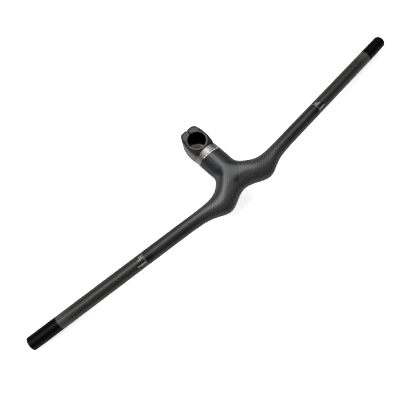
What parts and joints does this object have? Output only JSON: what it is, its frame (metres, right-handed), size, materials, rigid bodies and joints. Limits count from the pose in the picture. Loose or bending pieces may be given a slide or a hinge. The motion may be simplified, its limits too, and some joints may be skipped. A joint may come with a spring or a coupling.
{
  "type": "integrated handlebar stem",
  "caption": "One-piece hollow bicycle handlebar and stem: a split steerer clamp leads forward to a wide, slightly swept bar with thick shoulders.",
  "frame": {"origin": "centre of the steerer bore, halfway up the clamp", "axes": "+Z along the steerer towards the clamp face the picture shows, -Y forward towards the bar, X along the bar"},
  "size_m": [0.7632, 0.1474, 0.0579],
  "materials": {
    "handlebar": "satin woven composite",
    "bolt": "black oxide",
    "insert": "plain"
  },
  "bodies": {
    "root": {"handlebar": "handlebar", "pinch_bolt_upper": "bolt", "pinch_bolt_lower": "bolt", "threaded_insert_upper": "insert", "threaded_insert_lower": "insert"}
  },
  "joints": []
}
